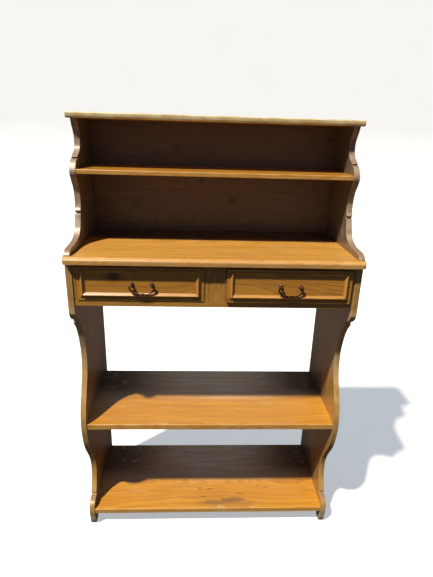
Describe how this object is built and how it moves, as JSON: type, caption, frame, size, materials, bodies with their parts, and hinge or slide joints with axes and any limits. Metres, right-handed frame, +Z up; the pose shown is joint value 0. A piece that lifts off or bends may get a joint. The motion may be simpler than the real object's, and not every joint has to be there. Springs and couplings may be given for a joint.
{
  "type": "scroll-sided shelf stand",
  "caption": "Pine stand with scrolled sides, a worktop over a pair of drawers with bail handles, open shelves below and a shallow shelf rack with a board back above.",
  "frame": {"origin": "middle of the bounding box on the floor", "axes": "+Z up; +X to the right of someone facing the stand; -Y towards them, so the back plane is at Y 0.212"},
  "size_m": [0.975, 0.4242, 1.556],
  "materials": {
    "waxed_pine": "honey pine, waxed to a low sheen, worn paler at the edges",
    "shaded_pine": "red-brown stained pine with knots, low sheen",
    "raw_pine": "planed pine without finish, dry",
    "antique_bronze": "dark antique bronze with copper where hands rub it",
    "steel": "dull zinc"
  },
  "bodies": {
    "carcass": {"back_board_lower": "shaded_pine", "back_board_middle": "shaded_pine", "back_board_upper": "shaded_pine", "bottom_shelf": "waxed_pine", "case_back_rail": "raw_pine", "drawer_guide_centre": "raw_pine", "drawer_guide_left": "raw_pine", "drawer_guide_right": "raw_pine", "drawer_kicker_centre": "raw_pine", "drawer_kicker_left": "raw_pine", "drawer_kicker_right": "raw_pine", "drawer_runner_centre": "raw_pine", "drawer_runner_left": "raw_pine", "drawer_runner_right": "raw_pine", "frieze_bottom_rail": "waxed_pine", "frieze_stile_centre": "waxed_pine", "frieze_stile_left": "waxed_pine", "frieze_stile_right": "waxed_pine", "frieze_top_rail": "waxed_pine", "lower_side_left": "waxed_pine", "lower_side_right": "waxed_pine", "middle_shelf": "waxed_pine", "side_dowel_left_back": "raw_pine", "side_dowel_left_front": "raw_pine", "side_dowel_right_back": "raw_pine", "side_dowel_right_front": "raw_pine", "top_board": "waxed_pine", "upper_shelf": "waxed_pine", "upper_side_left": "waxed_pine", "upper_side_right": "waxed_pine", "worktop": "waxed_pine"},
    "drawer_left": {"drawer_left_back": "raw_pine", "drawer_left_bottom": "raw_pine", "drawer_left_front": "waxed_pine", "drawer_left_moulding_bottom": "waxed_pine", "drawer_left_moulding_left": "waxed_pine", "drawer_left_moulding_right": "waxed_pine", "drawer_left_moulding_top": "waxed_pine", "drawer_left_side_left": "raw_pine", "drawer_left_side_right": "raw_pine", "handle_left_nut_left": "steel", "handle_left_nut_right": "steel", "handle_left_post_left": "antique_bronze", "handle_left_post_right": "antique_bronze"},
    "drawer_right": {"drawer_right_back": "raw_pine", "drawer_right_bottom": "raw_pine", "drawer_right_front": "waxed_pine", "drawer_right_moulding_bottom": "waxed_pine", "drawer_right_moulding_left": "waxed_pine", "drawer_right_moulding_right": "waxed_pine", "drawer_right_moulding_top": "waxed_pine", "drawer_right_side_left": "raw_pine", "drawer_right_side_right": "raw_pine", "handle_right_nut_left": "steel", "handle_right_nut_right": "steel", "handle_right_post_left": "antique_bronze", "handle_right_post_right": "antique_bronze"},
    "bail_left": {"handle_left_bail": "antique_bronze"},
    "bail_right": {"handle_right_bail": "antique_bronze"}
  },
  "joints": [
    {"name": "drawer_left_slide", "type": "slide", "parent": "carcass", "child": "drawer_left", "axis": [0, -1, 0], "range_m": [0, 0.22]},
    {"name": "drawer_right_slide", "type": "slide", "parent": "carcass", "child": "drawer_right", "axis": [0, -1, 0], "range_m": [-0.006, 0.214]},
    {"name": "handle_left_hinge", "type": "hinge", "parent": "drawer_left", "child": "bail_left", "pos_m": [-0.23575, -0.1964, 1.0415], "axis": [-1, 0, 0], "range_deg": [0, 95]},
    {"name": "handle_right_hinge", "type": "hinge", "parent": "drawer_right", "child": "bail_right", "pos_m": [0.24375, -0.2024, 1.0415], "axis": [-1, 0, 0], "range_deg": [0, 95]}
  ]
}
